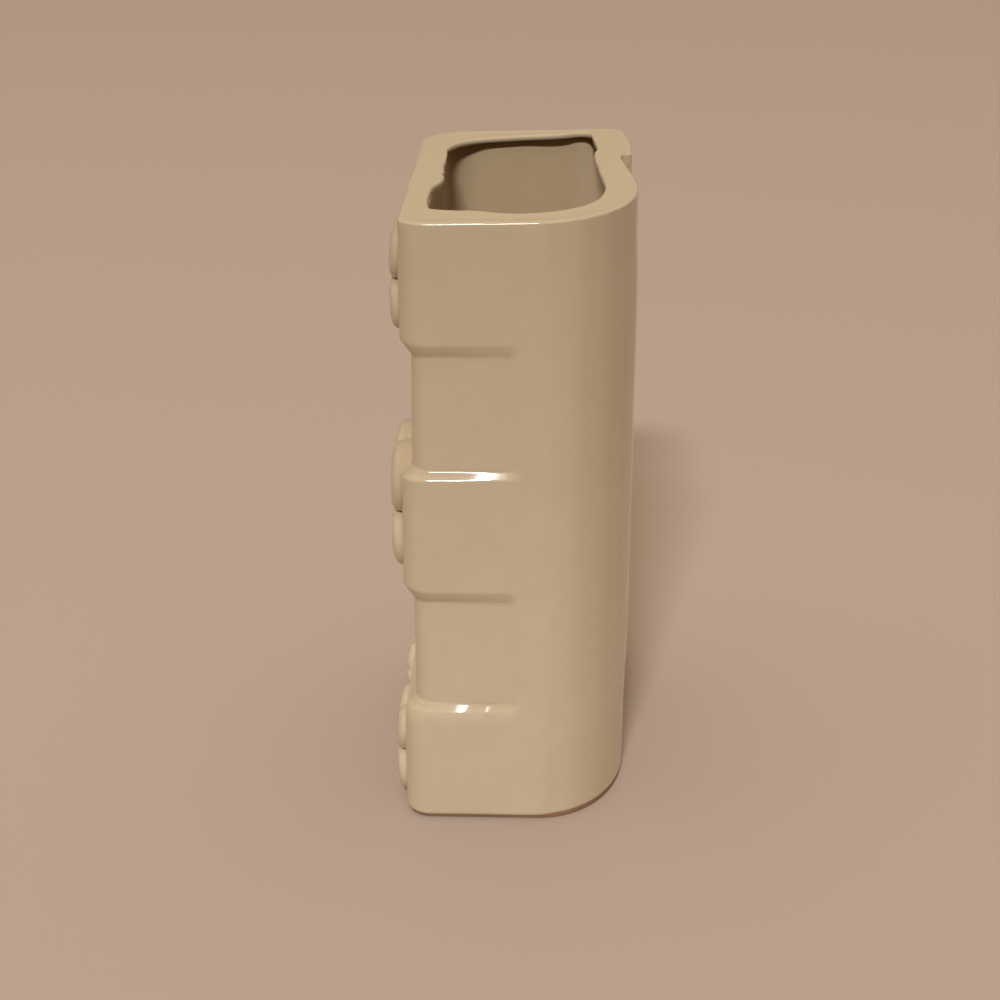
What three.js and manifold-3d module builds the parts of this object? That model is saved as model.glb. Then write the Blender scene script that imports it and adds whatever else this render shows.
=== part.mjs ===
// A tall glazed ceramic planter, in millimetres, with +Z up and its front facing -Y.
// Five nearly equal levels climb the front: three raised bands with a recess between each two.
// The fired planter is one rigid body. These are the clay pieces that it is formed from,
// each a solid of its own, with a thin joint of slip between neighbours.
import * as THREE from 'three';
import { mergeVertices } from 'three/addons/utils/BufferGeometryUtils.js';
import Module from 'manifold-3d';

const wasm = await Module();
wasm.setup();

// Body
const bodyWidth = 124;
const bodyDepth = 69.5;
const wallThickness = 3.4;
const floorThickness = 5;
const slipJoint = 0.3;

// Foot
const footHeight = 0.8;
const footSetback = 1;
const footWidth = 8;

// Levels, from the ground up
const bottomBandHeight = 38.5;
const lowerRecessHeight = 37.3;
const middleBandHeight = 39.2;
const upperRecessHeight = 38;
const topBandHeight = 38;

// Bands and the recesses between them
const bandReach = 34;
const frontRecess = 3.3;
const sideRecess = 1.8;
const nearCornerRadius = 8;
const farCornerRadius = 15;
const ledgeSlope = 2.6;

// Back: a broad shoulder on the +X side, then a shallow valley and a step out to a flatter lobe
const shoulderWidth = 40;
const shoulderDepth = 28;
const valleyFromFarSide = 41;
const valleyDepth = 3.9;
const valleyStepRun = 1.8;
const farLobeSetback = 0.2;
const farLobeFall = 1.8;
const backCornerRadius = 4.5;

// Rim shelf, with a hand-cut opening
const rimThickness = 3;
const rimEdge = 1.2;
const shelfFront = 10.4;
const shelfBack = 10;
const shelfNear = 10.4;
const shelfFar = 5;
const mouthCornerCut = 7;
const mouthFarRound = 12;
const mouthFarCorner = 3;
const mouthSlant = 9.5;
const notchWidth = 23;
const notchRun = 9;
const notchDepth = 2.3;
const notchFromNearSide = 18;
const valleyShelfExtra = 2.9;

// Relief sprigs on the bands
const sprigFromSide = 24;
const reliefHeight = 4.4;
const petalNotch = 10;
const petalThickness = 3.4;
const blossomEyeRadius = 5.2;
const leafLength = 13.5;
const leafWidth = 8;
const leafTilt = THREE.MathUtils.degToRad(30);
const leafPairRise = 9;
const leafThickness = 3.6;
const leafDrop = 3;
const stemWidth = 3.2;
const stemLength = 22;
const sprigEdge = 1.2;

// Blossoms: each band's own reach of petals, and lift above the band's middle
const bottomPetalReach = 17;
const bottomBlossomLift = -2.9;
const middlePetalReach = 21.5;
const middleBlossomLift = 3.4;
const middleUpperStretch = 1.26;
const topPetalReach = 18.6;
const topBlossomLift = -0.9;
const evenPetals = 1;

// Curve steps
const arcSteps = 8;
const petalSteps = 56;
const leafSteps = 6;
const edgeSteps = 2;
const eyeSides = 20;
const eyeRings = 10;

// Places worked out from the sizes above
const middleBandLow = bottomBandHeight + lowerRecessHeight;
const middleBandHigh = middleBandLow + middleBandHeight;
const topBandLow = middleBandHigh + upperRecessHeight;
const bodyHeight = topBandLow + topBandHeight;
const frontY = (reliefHeight - bodyDepth) / 2;
const backY = frontY + bodyDepth;
const seamY = frontY + bandReach;
const nearX = bodyWidth / 2;
const farX = -bodyWidth / 2;
const floorBottom = footHeight + slipJoint;
const floorTop = floorBottom + floorThickness;
const wallBottom = floorTop + slipJoint;
const rimBottom = bodyHeight - rimThickness;
const wallTop = rimBottom - slipJoint;
const frontInside = frontRecess + wallThickness;
const sideInside = sideRecess + wallThickness;
const ledgeDepth = 0.6 * (sideRecess - slipJoint);
const spare = 10;

const ivoryGlaze = new THREE.MeshStandardMaterial({ color: '#d9c8ab', roughness: 0.14, metalness: 0 });
const bareClay = new THREE.MeshStandardMaterial({ color: '#b5936f', roughness: 0.85, metalness: 0 });

// Booleans

function solidOf(geometry) {
  const bare = geometry.index ? geometry.toNonIndexed() : geometry.clone();
  bare.deleteAttribute('normal');
  bare.deleteAttribute('uv');
  const merged = mergeVertices(bare, 1e-4);
  const vertProperties = new Float32Array(merged.attributes.position.array);
  const triVerts = new Uint32Array(merged.index.array);
  return new wasm.Manifold(new wasm.Mesh({ numProp: 3, vertProperties, triVerts }));
}

function geometryOf(solid) {
  const mesh = solid.getMesh();
  const geometry = new THREE.BufferGeometry();
  geometry.setAttribute('position', new THREE.BufferAttribute(new Float32Array(mesh.vertProperties), 3));
  geometry.setIndex(new THREE.BufferAttribute(new Uint32Array(mesh.triVerts), 1));
  geometry.computeVertexNormals();
  return geometry;
}

// A block that reaches past the body on every side, between two heights
function layer(low, high) {
  const geometry = new THREE.BoxGeometry(2 * bodyWidth, 4 * bodyDepth, high - low);
  geometry.translate(0, 0, (low + high) / 2);
  return solidOf(geometry);
}

// Plan outlines, as points from the far seam round the front, and from the near seam round the back

function frontPoints(sideInset, frontInset, endY) {
  const inset = Math.min(sideInset, frontInset);
  const farRadius = Math.max(farCornerRadius - inset, farCornerRadius / 3);
  const nearRadius = Math.max(nearCornerRadius - inset, nearCornerRadius / 3);
  const left = farX + sideInset;
  const right = nearX - sideInset;
  const y = frontY + frontInset;
  const path = new THREE.Path();
  path.moveTo(left, endY);
  path.lineTo(left, y + farRadius);
  path.absarc(left + farRadius, y + farRadius, farRadius, Math.PI, 1.5 * Math.PI, false);
  path.lineTo(right - nearRadius, y);
  path.absarc(right - nearRadius, y + nearRadius, nearRadius, 1.5 * Math.PI, 2 * Math.PI, false);
  path.lineTo(right, endY);
  return path.getPoints(arcSteps);
}

function backPoints(inset, endY) {
  const crownX = nearX - shoulderWidth;
  const crownY = backY - inset;
  const stepLean = Math.atan2(valleyDepth - farLobeSetback, valleyStepRun);
  const valleyX = farX + valleyFromFarSide - inset * Math.tan(stepLean / 2);
  const valleyY = crownY - valleyDepth;
  const lobeX = valleyX - valleyStepRun;
  const lobeY = crownY - farLobeSetback;
  const cornerY = lobeY - farLobeFall;
  const cornerRadius = Math.max(backCornerRadius - inset, backCornerRadius / 3);
  const cornerX = farX + inset + cornerRadius;
  const flank = crownX - valleyX;
  const path = new THREE.Path();
  path.moveTo(nearX - inset, endY);
  path.lineTo(nearX - inset, backY - shoulderDepth);
  path.absellipse(
    crownX, backY - shoulderDepth, shoulderWidth - inset, shoulderDepth - inset,
    0, Math.PI / 2, false, 0,
  );
  path.bezierCurveTo(
    crownX - flank / 3, crownY, valleyX + flank / 4, valleyY, valleyX, valleyY,
  );
  path.lineTo(lobeX, lobeY);
  path.quadraticCurveTo((lobeX + cornerX) / 2, lobeY, cornerX, cornerY);
  path.absarc(cornerX, cornerY - cornerRadius, cornerRadius, Math.PI / 2, Math.PI, false);
  path.lineTo(farX + inset, endY);
  return path.getPoints(arcSteps);
}

// A ring of points with repeats left out, so that each outline edge has a length
function shapeOf(points) {
  const kept = points.filter((point, i) => {
    const before = points[(i + points.length - 1) % points.length];
    return point.distanceTo(before) > 1e-3;
  });
  return new THREE.Shape(kept);
}

function wholeOutline(sideInset, frontInset, backInset) {
  return shapeOf([...frontPoints(sideInset, frontInset, seamY), ...backPoints(backInset, seamY)]);
}

function upright(shape, low, high) {
  const geometry = new THREE.ExtrudeGeometry(shape, { depth: high - low, bevelEnabled: false });
  geometry.translate(0, 0, low);
  return geometry;
}

// The same with softened edges: run in by inset over rise at both ends
function softUpright(shape, low, high, inset, rise) {
  const geometry = new THREE.ExtrudeGeometry(shape, {
    depth: high - low - 2 * rise,
    bevelEnabled: true,
    bevelSize: inset,
    bevelOffset: -inset,
    bevelThickness: rise,
    bevelSegments: edgeSteps,
  });
  geometry.translate(0, 0, low + rise);
  return geometry;
}

// Foot: an unglazed ring that the planter stands on

function footRing() {
  const inner = footSetback + footWidth;
  const shape = wholeOutline(footSetback, footSetback, footSetback);
  shape.holes.push(wholeOutline(inner, inner, inner));
  return upright(shape, 0, footHeight);
}

// Floor: a slab in the same plan as the walls that stand on it

function floorSlab() {
  return upright(wholeOutline(sideRecess, frontRecess, 0), floorBottom, floorTop);
}

// Walls: two moulded halves, which meet at the seam behind the bands

function frontWall() {
  const endY = seamY - slipJoint;
  const outer = frontPoints(sideRecess, frontRecess, endY);
  const inner = frontPoints(sideInside, frontInside, endY);
  return upright(shapeOf([...outer, ...inner.reverse()]), wallBottom, wallTop);
}

function rearWall() {
  const outer = backPoints(0, seamY);
  const inner = backPoints(wallThickness, seamY);
  return upright(shapeOf([...outer, ...inner.reverse()]), wallBottom, wallTop);
}

// Bands: straps round the front, flush with the rear wall, with sloped ledges

function band(low, high, cutLow, cutHigh) {
  const endY = seamY - slipJoint;
  const outer = shapeOf(frontPoints(0, 0, seamY + spare));
  const core = shapeOf(frontPoints(sideRecess - slipJoint, frontRecess - slipJoint, seamY + 2 * spare));
  const block = solidOf(softUpright(outer, low, high, ledgeDepth, ledgeSlope));
  const behind = new THREE.BoxGeometry(2 * bodyWidth, bodyDepth, 2 * bodyHeight);
  behind.translate(0, endY + bodyDepth / 2, 0);
  const strap = block
    .subtract(solidOf(upright(core, low - spare, high + spare)))
    .subtract(solidOf(behind))
    .intersect(layer(cutLow, cutHigh));
  return geometryOf(strap);
}

// Rim shelf: a flat collar over the walls, with an irregular hand-cut mouth

function mouth() {
  const front = frontY + shelfFront;
  const back = backY - shelfBack;
  const near = nearX - shelfNear;
  const far = farX + shelfFar;
  const crownX = nearX - shoulderWidth;
  const valleyX = farX + valleyFromFarSide;
  const lobeBack = back - valleyShelfExtra;
  const notchNear = nearX - notchFromNearSide;
  const notchFar = notchNear - notchWidth;
  const middleY = (front + back) / 2;
  const slantX = far + mouthSlant;
  const path = new THREE.Path();
  path.moveTo(notchNear, front - notchDepth);
  path.quadraticCurveTo(near, front + mouthCornerCut, near, middleY);
  path.bezierCurveTo(near, back - mouthCornerCut, crownX + shoulderWidth / 4, back, crownX, back);
  path.bezierCurveTo(
    crownX - shoulderWidth / 3, back, valleyX + mouthFarRound, lobeBack, valleyX, lobeBack,
  );
  path.lineTo(far + mouthFarCorner, lobeBack);
  path.quadraticCurveTo(far, lobeBack, far, lobeBack - mouthFarCorner);
  path.lineTo(slantX, front + mouthFarRound);
  path.quadraticCurveTo(slantX + mouthFarRound / 4, front, slantX + 1.3 * mouthFarRound, front);
  path.lineTo(notchFar - notchRun, front);
  path.lineTo(notchFar, front - notchDepth);
  return path.getPoints(arcSteps);
}

function rimShelf() {
  const shape = wholeOutline(0, 0, 0);
  shape.holes.push(shapeOf(mouth()));
  const plate = solidOf(softUpright(shape, rimBottom - 2 * rimEdge, bodyHeight, rimEdge, rimEdge));
  return geometryOf(plate.intersect(layer(rimBottom, bodyHeight + spare)));
}

// Sprigs: drawn facing +Z with their seat at zero, then turned to face the front

function raised(shape, thickness) {
  const geometry = softUpright(shape, -2 * sprigEdge, thickness, sprigEdge, sprigEdge);
  return solidOf(geometry).intersect(layer(0, reliefHeight - slipJoint));
}

function blossom({ petalReach, upperStretch }) {
  const points = [];
  for (let i = 0; i < petalSteps; i += 1) {
    const angle = (2 * Math.PI * i) / petalSteps;
    const swell = Math.abs(Math.sin(2 * angle)) ** 0.8;
    const reach = petalNotch + (petalReach - petalNotch) * swell;
    const up = reach * Math.sin(angle);
    points.push(new THREE.Vector2(reach * Math.cos(angle), up > 0 ? up * upperStretch : up));
  }
  const eye = new THREE.SphereGeometry(blossomEyeRadius, eyeSides, eyeRings);
  eye.rotateX(Math.PI / 2);
  eye.scale(1, 1, (reliefHeight - slipJoint) / blossomEyeRadius);
  const button = solidOf(eye).intersect(layer(0, reliefHeight - slipJoint));
  return geometryOf(raised(new THREE.Shape(points), petalThickness).add(button));
}

function leafShape(baseX, baseY, angle) {
  const tip = new THREE.Vector2(leafLength, 0).rotateAround(new THREE.Vector2(), angle);
  const bulge = new THREE.Vector2(-tip.y, tip.x).multiplyScalar(leafWidth / leafLength);
  const middle = tip.clone().multiplyScalar(0.5);
  const shape = new THREE.Shape();
  shape.moveTo(baseX, baseY);
  shape.quadraticCurveTo(
    baseX + middle.x - bulge.x, baseY + middle.y - bulge.y, baseX + tip.x, baseY + tip.y,
  );
  shape.quadraticCurveTo(
    baseX + middle.x + bulge.x, baseY + middle.y + bulge.y, baseX, baseY,
  );
  return shapeOf(shape.getPoints(leafSteps));
}

function leafSpray() {
  const stem = new THREE.Shape();
  const halfStem = stemWidth / 2;
  const stemFoot = -0.6 * stemLength;
  const stemTip = stemFoot + stemLength - leafLength / 2;
  stem.moveTo(-halfStem, stemFoot);
  stem.lineTo(halfStem, stemFoot);
  stem.lineTo(halfStem, stemTip);
  stem.lineTo(-halfStem, stemTip);
  let spray = raised(stem, leafThickness - sprigEdge);
  for (const pair of [0, 1]) {
    const baseY = stemFoot + leafLength / 3 + pair * leafPairRise;
    spray = spray.add(raised(leafShape(0, baseY, leafTilt), leafThickness));
    spray = spray.add(raised(leafShape(0, baseY, Math.PI - leafTilt), leafThickness));
  }
  spray = spray.add(raised(leafShape(0, stemTip - sprigEdge, Math.PI / 2), leafThickness));
  return geometryOf(spray);
}

// Assembly

const planter = new THREE.Group();

function addPiece(name, geometry, material) {
  const mesh = new THREE.Mesh(geometry, material);
  mesh.name = name;
  planter.add(mesh);
  return mesh;
}

addPiece('foot_ring', footRing(), bareClay);
addPiece('floor_slab', floorSlab(), ivoryGlaze);
addPiece('front_wall', frontWall(), ivoryGlaze);
addPiece('rear_wall', rearWall(), ivoryGlaze);
addPiece('rim_shelf', rimShelf(), ivoryGlaze);

// Each band's foot, head, middle and blossom
const bands = [
  {
    name: 'bottom', low: floorBottom, high: bottomBandHeight, middleZ: bottomBandHeight / 2,
    flower: { petalReach: bottomPetalReach, upperStretch: evenPetals, lift: bottomBlossomLift },
  },
  {
    name: 'middle', low: middleBandLow, high: middleBandHigh,
    middleZ: (middleBandLow + middleBandHigh) / 2,
    flower: { petalReach: middlePetalReach, upperStretch: middleUpperStretch, lift: middleBlossomLift },
  },
  {
    name: 'top', low: topBandLow, high: wallTop, middleZ: (topBandLow + bodyHeight) / 2,
    flower: { petalReach: topPetalReach, upperStretch: evenPetals, lift: topBlossomLift },
  },
];

// The bands, each with its sprigs from near to far
bands.forEach(({ name, low, high, middleZ, flower }) => {
  const reachHigh = name === 'top' ? high + 2 * ledgeSlope : high;
  addPiece(`band_${name}`, band(low, reachHigh, low, high), ivoryGlaze);
  const sprigs = [
    { node: `blossom_${name}_near`, geometry: blossom(flower), lift: flower.lift },
    { node: `leaves_${name}_centre`, geometry: leafSpray(), lift: -leafDrop },
    { node: `leaves_${name}_far`, geometry: leafSpray(), lift: -leafDrop },
  ];
  sprigs.forEach(({ node, geometry, lift }, i) => {
    const sprig = addPiece(node, geometry, ivoryGlaze);
    const x = (1 - i) * (nearX - sprigFromSide);
    sprig.rotation.x = Math.PI / 2;
    sprig.position.set(x, frontY - slipJoint, middleZ + lift);
  });
});

export default planter;
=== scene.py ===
# %% [markdown]
# A tall glazed planter, dressed for its portrait
#
# The planter is slip-cast earthenware under a glossy ivory glaze. Three raised bands cross its
# front, relief sprigs stand on the bands, the back is rounded, and a flat shelf of a rim was
# trimmed by hand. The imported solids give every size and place. This script makes the surface that
# the eye sees: soft ledges, rounded lips, petals with veins, and a glaze that pools and thins.
# Lengths are in metres, so a size in millimetres is written as a number times MM.

# %% Load the frame
import math

import bmesh
import bpy
import numpy as np
from mathutils import Euler, Matrix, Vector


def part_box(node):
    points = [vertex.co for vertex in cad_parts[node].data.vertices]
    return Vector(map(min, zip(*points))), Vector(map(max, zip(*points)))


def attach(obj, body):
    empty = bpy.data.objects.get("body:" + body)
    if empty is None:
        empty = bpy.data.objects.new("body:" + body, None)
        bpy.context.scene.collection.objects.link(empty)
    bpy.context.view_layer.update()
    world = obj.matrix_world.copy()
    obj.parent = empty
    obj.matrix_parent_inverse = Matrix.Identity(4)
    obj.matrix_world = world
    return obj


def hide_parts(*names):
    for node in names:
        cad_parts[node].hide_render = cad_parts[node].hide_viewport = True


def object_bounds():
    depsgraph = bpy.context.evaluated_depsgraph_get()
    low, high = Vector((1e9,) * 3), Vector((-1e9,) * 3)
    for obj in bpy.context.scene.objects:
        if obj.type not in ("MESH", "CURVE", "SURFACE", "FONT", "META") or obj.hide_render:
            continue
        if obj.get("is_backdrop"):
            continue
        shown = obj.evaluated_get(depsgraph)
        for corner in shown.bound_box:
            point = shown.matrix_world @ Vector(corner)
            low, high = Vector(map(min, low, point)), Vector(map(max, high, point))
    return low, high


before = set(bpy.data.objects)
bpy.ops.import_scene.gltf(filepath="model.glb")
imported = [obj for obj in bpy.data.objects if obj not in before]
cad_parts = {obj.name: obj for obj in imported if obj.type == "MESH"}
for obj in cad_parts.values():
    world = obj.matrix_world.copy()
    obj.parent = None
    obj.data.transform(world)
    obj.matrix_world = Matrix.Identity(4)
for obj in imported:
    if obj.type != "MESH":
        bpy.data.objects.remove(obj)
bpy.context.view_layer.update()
MM = 0.001

# %% [markdown]
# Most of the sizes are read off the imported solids, so the dressed planter can't drift away from
# them. The few that a box can't tell, such as a corner's radius, are written here once.

# %% Sizes
rim_low, rim_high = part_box("rim_shelf")
front_low, front_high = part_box("front_wall")
floor_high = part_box("floor_slab")[1]
foot_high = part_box("foot_ring")[1]

NEAR_X, FAR_X = rim_high.x, rim_low.x
FRONT_Y, BACK_Y = rim_low.y, rim_high.y
TOP_Z, RIM_Z = rim_high.z, rim_low.z
SIDE_RECESS = NEAR_X - front_high.x
FRONT_RECESS = front_low.y - FRONT_Y
FOOT_TOP = foot_high.z
FOOT_SETBACK = NEAR_X - foot_high.x
FLOOR_TOP = floor_high.z
WALL = 3.4 * MM
SIDE_WALL = 2.6 * MM
NEAR_CORNER = 8 * MM
FAR_CORNER = 15 * MM
SHOULDER_WIDTH = 40 * MM
SHOULDER_DEPTH = 28 * MM
VALLEY_FROM_FAR = 41 * MM
VALLEY_DEPTH = 3.9 * MM
VALLEY_STEP = 1.8 * MM
FAR_LOBE_SETBACK = 0.2 * MM
FAR_LOBE_FALL = 1.8 * MM
BACK_CORNER = 4.5 * MM
recess_mm = [round(depth / MM, 2) for depth in (SIDE_RECESS, FRONT_RECESS)]
print("recess:", recess_mm[0], "mm at the sides,", recess_mm[1], "mm in front")

# %% [markdown]
# The camera comes early, because every comparison is made through it. It stands off the planter's
# narrow side, a little above the rim, and looks down. A lens could be guessed by eye, but the place
# and the focal length here were solved from edges of known height, so the perspective is right.

# %% Camera
IMAGE_PIXELS = 1000
FOCAL_PIXELS = 1971
SENSOR = 36.0
CAMERA_PLACE = (NEAR_X + 532.2 * MM, FRONT_Y + 43.1 * MM, 326.1 * MM)
CAMERA_PITCH = math.radians(22.29)
CAMERA_HEADING = math.radians(91.48)
CAMERA_ROLL = math.radians(0.15)

camera_data = bpy.data.cameras.new("portrait_camera")
camera_data.sensor_width = SENSOR
camera_data.lens = SENSOR * FOCAL_PIXELS / IMAGE_PIXELS
camera_data.clip_start = 10 * MM
camera = bpy.data.objects.new("portrait_camera", camera_data)
camera.location = CAMERA_PLACE
level_view = Euler((math.pi / 2 - CAMERA_PITCH, 0, CAMERA_HEADING)).to_matrix()
camera.rotation_euler = (level_view @ Matrix.Rotation(CAMERA_ROLL, 3, "Z")).to_euler()
bpy.context.scene.collection.objects.link(camera)
bpy.context.scene.camera = camera
print("camera lens:", round(camera_data.lens, 2), "mm")

# %% [markdown]
# Every skin of the planter is a grid: columns run round the plan, rows run up the wall. Two open
# curves make the plan, one round the front and one round the back. Each is sampled the same way at
# any inset, so column 12 of the cavity lies straight behind column 12 of the outside. A curve is
# made of parts, and the last number of each part is its count of columns.

# %% Curve helpers
def line(start, end, count):
    """Points from start up to, but not including, end."""
    steps = np.linspace(0, 1, count, endpoint=False)[:, None]
    return np.array(start) + steps * (np.array(end) - np.array(start))


def arc(centre, radii, start_degrees, end_degrees, count):
    """Points along an ellipse's arc, without its last point."""
    angles = np.radians(np.linspace(start_degrees, end_degrees, count, endpoint=False))
    return np.array(centre) + np.array(radii) * np.stack([np.cos(angles), np.sin(angles)], 1)


def bezier(a, b, c, d, count):
    """Points along a cubic curve, without its last point."""
    t = np.linspace(0, 1, count, endpoint=False)[:, None]
    a, b, c, d = (np.array(p) for p in (a, b, c, d))
    return a * (1 - t) ** 3 + 3 * b * t * (1 - t) ** 2 + 3 * c * t**2 * (1 - t) + d * t**3


def soften(points, passes):
    """Rounds a curve's corners a little and keeps its ends."""
    points = points.copy()
    for _ in range(passes):
        points[1:-1] = (points[:-2] + 2 * points[1:-1] + points[2:]) / 4
    return points


# %% Plan curves
SKIN_SEAM_Y = FRONT_Y + 39 * MM
FRONT_EASE = 0.9 * MM
SOFTEN_PASSES = 4


def front_ease(x):
    """How far the front face stands back at a place along it: it eases in towards the far side."""
    return FRONT_EASE * np.clip((NEAR_X - x) / (NEAR_X - FAR_X), 0, 1)


def front_curve(side_inset, front_inset):
    """From the far seam, round the front, to the near seam."""
    left, right = FAR_X + side_inset, NEAR_X - side_inset
    y = FRONT_Y + front_inset
    inset = min(side_inset, front_inset)
    far_round = max(FAR_CORNER - inset, FAR_CORNER / 3)
    near_round = max(NEAR_CORNER - inset, NEAR_CORNER / 3)
    plan = np.concatenate([
        line((left, SKIN_SEAM_Y), (left, y + far_round), 24),
        arc((left + far_round, y + far_round), (far_round, far_round), 180, 270, 22),
        line((left + far_round, y), (right - near_round, y), 90),
        arc((right - near_round, y + near_round), (near_round, near_round), 270, 360, 16),
        line((right, y + near_round), (right, SKIN_SEAM_Y), 36),
        [(right, SKIN_SEAM_Y)],
    ])
    behind_front = np.clip((SKIN_SEAM_Y - plan[:, 1]) / (SKIN_SEAM_Y - FRONT_Y), 0, 1)
    plan[:, 1] += front_ease(plan[:, 0]) * behind_front
    return plan


def back_curve(inset):
    """From the near seam, round the back with its shoulder, valley and far lobe, to the far seam."""
    near, far = NEAR_X - inset, FAR_X + inset
    crown_x, crown_y = NEAR_X - SHOULDER_WIDTH, BACK_Y - inset
    shoulder = (crown_x, BACK_Y - SHOULDER_DEPTH)
    step_lean = math.atan2(VALLEY_DEPTH - FAR_LOBE_SETBACK, VALLEY_STEP)
    valley_x = FAR_X + VALLEY_FROM_FAR - inset * math.tan(step_lean / 2)
    valley_y = crown_y - VALLEY_DEPTH
    lobe_x, lobe_y = valley_x - VALLEY_STEP, crown_y - FAR_LOBE_SETBACK
    radius = max(BACK_CORNER - inset, BACK_CORNER / 3)
    corner_x, corner_y = far + radius, lobe_y - FAR_LOBE_FALL
    flank = crown_x - valley_x
    lobe_middle = ((lobe_x + corner_x) / 2, lobe_y)
    return soften(np.concatenate([
        line((near, SKIN_SEAM_Y), (near, shoulder[1]), 3),
        arc(shoulder, (SHOULDER_WIDTH - inset, SHOULDER_DEPTH - inset), 0, 90, 50),
        bezier(
            (crown_x, crown_y), (crown_x - flank / 3, crown_y),
            (valley_x + flank / 4, valley_y), (valley_x, valley_y), 44,
        ),
        line((valley_x, valley_y), (lobe_x, lobe_y), 9),
        bezier((lobe_x, lobe_y), lobe_middle, lobe_middle, (corner_x, corner_y), 34),
        arc((corner_x, corner_y - radius), (radius, radius), 90, 180, 10),
        line((far, corner_y - radius), (far, SKIN_SEAM_Y), 22),
        [(far, SKIN_SEAM_Y)],
    ]), SOFTEN_PASSES)


front_full = front_curve(0, 0)
front_recessed = front_curve(SIDE_RECESS, FRONT_RECESS)
back_full = back_curve(0)
print("columns:", len(front_full), "round the front,", len(back_full), "round the back")

# %% [markdown]
# A ledge on cast ware is never a sharp step: the mould has a slope there and the glaze rounds it
# further. A ramp with rounded ends, up the height, says how far each row has sunk into a recess. The
# ledges on top of the bands are steeper than those under them, and all are longer in front, where the
# recess is deeper. The same curve tells where glaze thins, on the outer turn, and where it pools, on
# the inner turn. Along the sides the recess grows shallower towards the back, and runs out softly.
# On the lower ledge the glaze has gathered in two beads, a little steeper, which catch the light.

# %% Ledges
UP_LEDGE_SIDES = (3.5 * MM, 2.7 * MM)
UP_LEDGE_FRONT = 4.2 * MM
UP_TURNS = (0.12, 0.12)
DOWN_LEDGE_SIDE = 4.8 * MM
DOWN_LEDGE_FRONT = 6.2 * MM
DOWN_TURNS = (0.28, 0.2)
# Each bead is a distance behind the front, a width, and how much steeper the lower ledge is there.
BEADS = ((18 * MM, 3.2 * MM, 0.22), (25.5 * MM, 2 * MM, 0.36))
RECESS_LOSS = 0.28
LOSS_START = 8 * MM
LOSS_RUN = 24 * MM
RECESS_END = 30.5 * MM
END_RUN = 6 * MM


def smooth(x):
    """An S-curve from 0 to 1 with level ends."""
    x = np.clip(x, 0, 1)
    return x * x * x * (x * (6 * x - 15) + 10)


def ramp(x, turns):
    """A straight climb from 0 to 1, centred on 0, whose outer and inner ends are rounded."""
    outer, inner = turns
    x = np.clip(x + (1 + outer - inner) / 2, 0, 1)
    steep = 1 / (1 - (outer + inner) / 2)
    start = steep * x**2 / (2 * outer)
    end = 1 - steep * (1 - x) ** 2 / (2 * inner)
    straight = steep * (x - outer / 2)
    return np.where(x < outer, start, np.where(x > 1 - inner, end, straight))


band_boxes = {name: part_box("band_" + name) for name in ("bottom", "middle", "top")}
RECESSES = (
    (band_boxes["bottom"][1].z, band_boxes["middle"][0].z),
    (band_boxes["middle"][1].z, band_boxes["top"][0].z),
)


def sunk(z, facing, bead=0):
    """How far a height lies in a recess, 0 to 1, where facing is 1 in front and 0 at the sides."""
    down = DOWN_LEDGE_SIDE + (DOWN_LEDGE_FRONT - DOWN_LEDGE_SIDE) * facing
    total = 0
    for (low, high), side, steeper in zip(RECESSES, UP_LEDGE_SIDES, (bead, 0)):
        up = (side + (UP_LEDGE_FRONT - side) * facing) * (1 - steeper)
        total = total + ramp((z - low) / up, UP_TURNS) * ramp((high - z) / down, DOWN_TURNS)
    return total


def recess_fade(y):
    """How much of a recess's depth is left at a distance behind the front."""
    behind_front = y - FRONT_Y
    shallower = 1 - RECESS_LOSS * smooth((behind_front - LOSS_START) / LOSS_RUN)
    return shallower * (1 - smooth((behind_front - RECESS_END) / END_RUN))


print("ledge centres, mm:", [tuple(round(z / MM, 1) for z in recess) for recess in RECESSES])

# %% [markdown]
# Clay moves as it dries and fires. The skin is never quite flat, the rim rises a little towards the
# back, and the back wall draws in slightly at its foot and head. Bumps of a few hundredths of a
# millimetre are enough: gloss makes them show, as highlights that waver and break.

# %% Kiln warp
# Each wave is a depth, a length and a phase. WAVE_RUN is how fast it runs along x, y and z.
WAVES = ((0.06 * MM, 37 * MM, 0.3), (0.045 * MM, 22 * MM, 1.9), (0.02 * MM, 12 * MM, 4.1))
WAVE_RUN = (0.8, 0.6, 0.7)
FOOT_ROUND = 1.5 * MM
SKIN_FOOT_Z = FOOT_TOP + 0.1 * MM
RIM_RISE = 1.8 * MM
FOOT_DRAFT = 0.8 * MM
FOOT_DRAFT_RUN = 70 * MM
HEAD_DRAFT = 0.6 * MM
HEAD_DRAFT_RUN = 40 * MM


def waviness(x, y, z):
    """The gentle unevenness of cast clay under a flowing glaze."""
    total = 0
    for depth, length, phase in WAVES:
        k = 2 * math.pi / length
        level = k * (WAVE_RUN[0] * x + WAVE_RUN[1] * y) + phase
        total = total + depth * np.sin(level) * np.cos(k * WAVE_RUN[2] * z + 2 * phase)
    return total


def tuck(z):
    """How far the skin turns in under the planter, close to the foot."""
    left = np.clip(1 - (z - SKIN_FOOT_Z) / FOOT_ROUND, 0, 1)
    return FOOT_ROUND * (1 - np.sqrt(1 - left * left))


def draft(z):
    """How far the back wall draws in towards its foot and its head."""
    foot = FOOT_DRAFT * smooth((FOOT_DRAFT_RUN - z) / FOOT_DRAFT_RUN)
    head = HEAD_DRAFT * smooth((z - TOP_Z + HEAD_DRAFT_RUN) / HEAD_DRAFT_RUN)
    return foot + head


def warped(plan, z):
    """Heights with the rise of the rim towards the back, which grows from the foot up."""
    back_share = (plan[:, 1] - FRONT_Y) / (BACK_Y - FRONT_Y) - 0.5
    return z + RIM_RISE * z / TOP_Z * back_share


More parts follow.
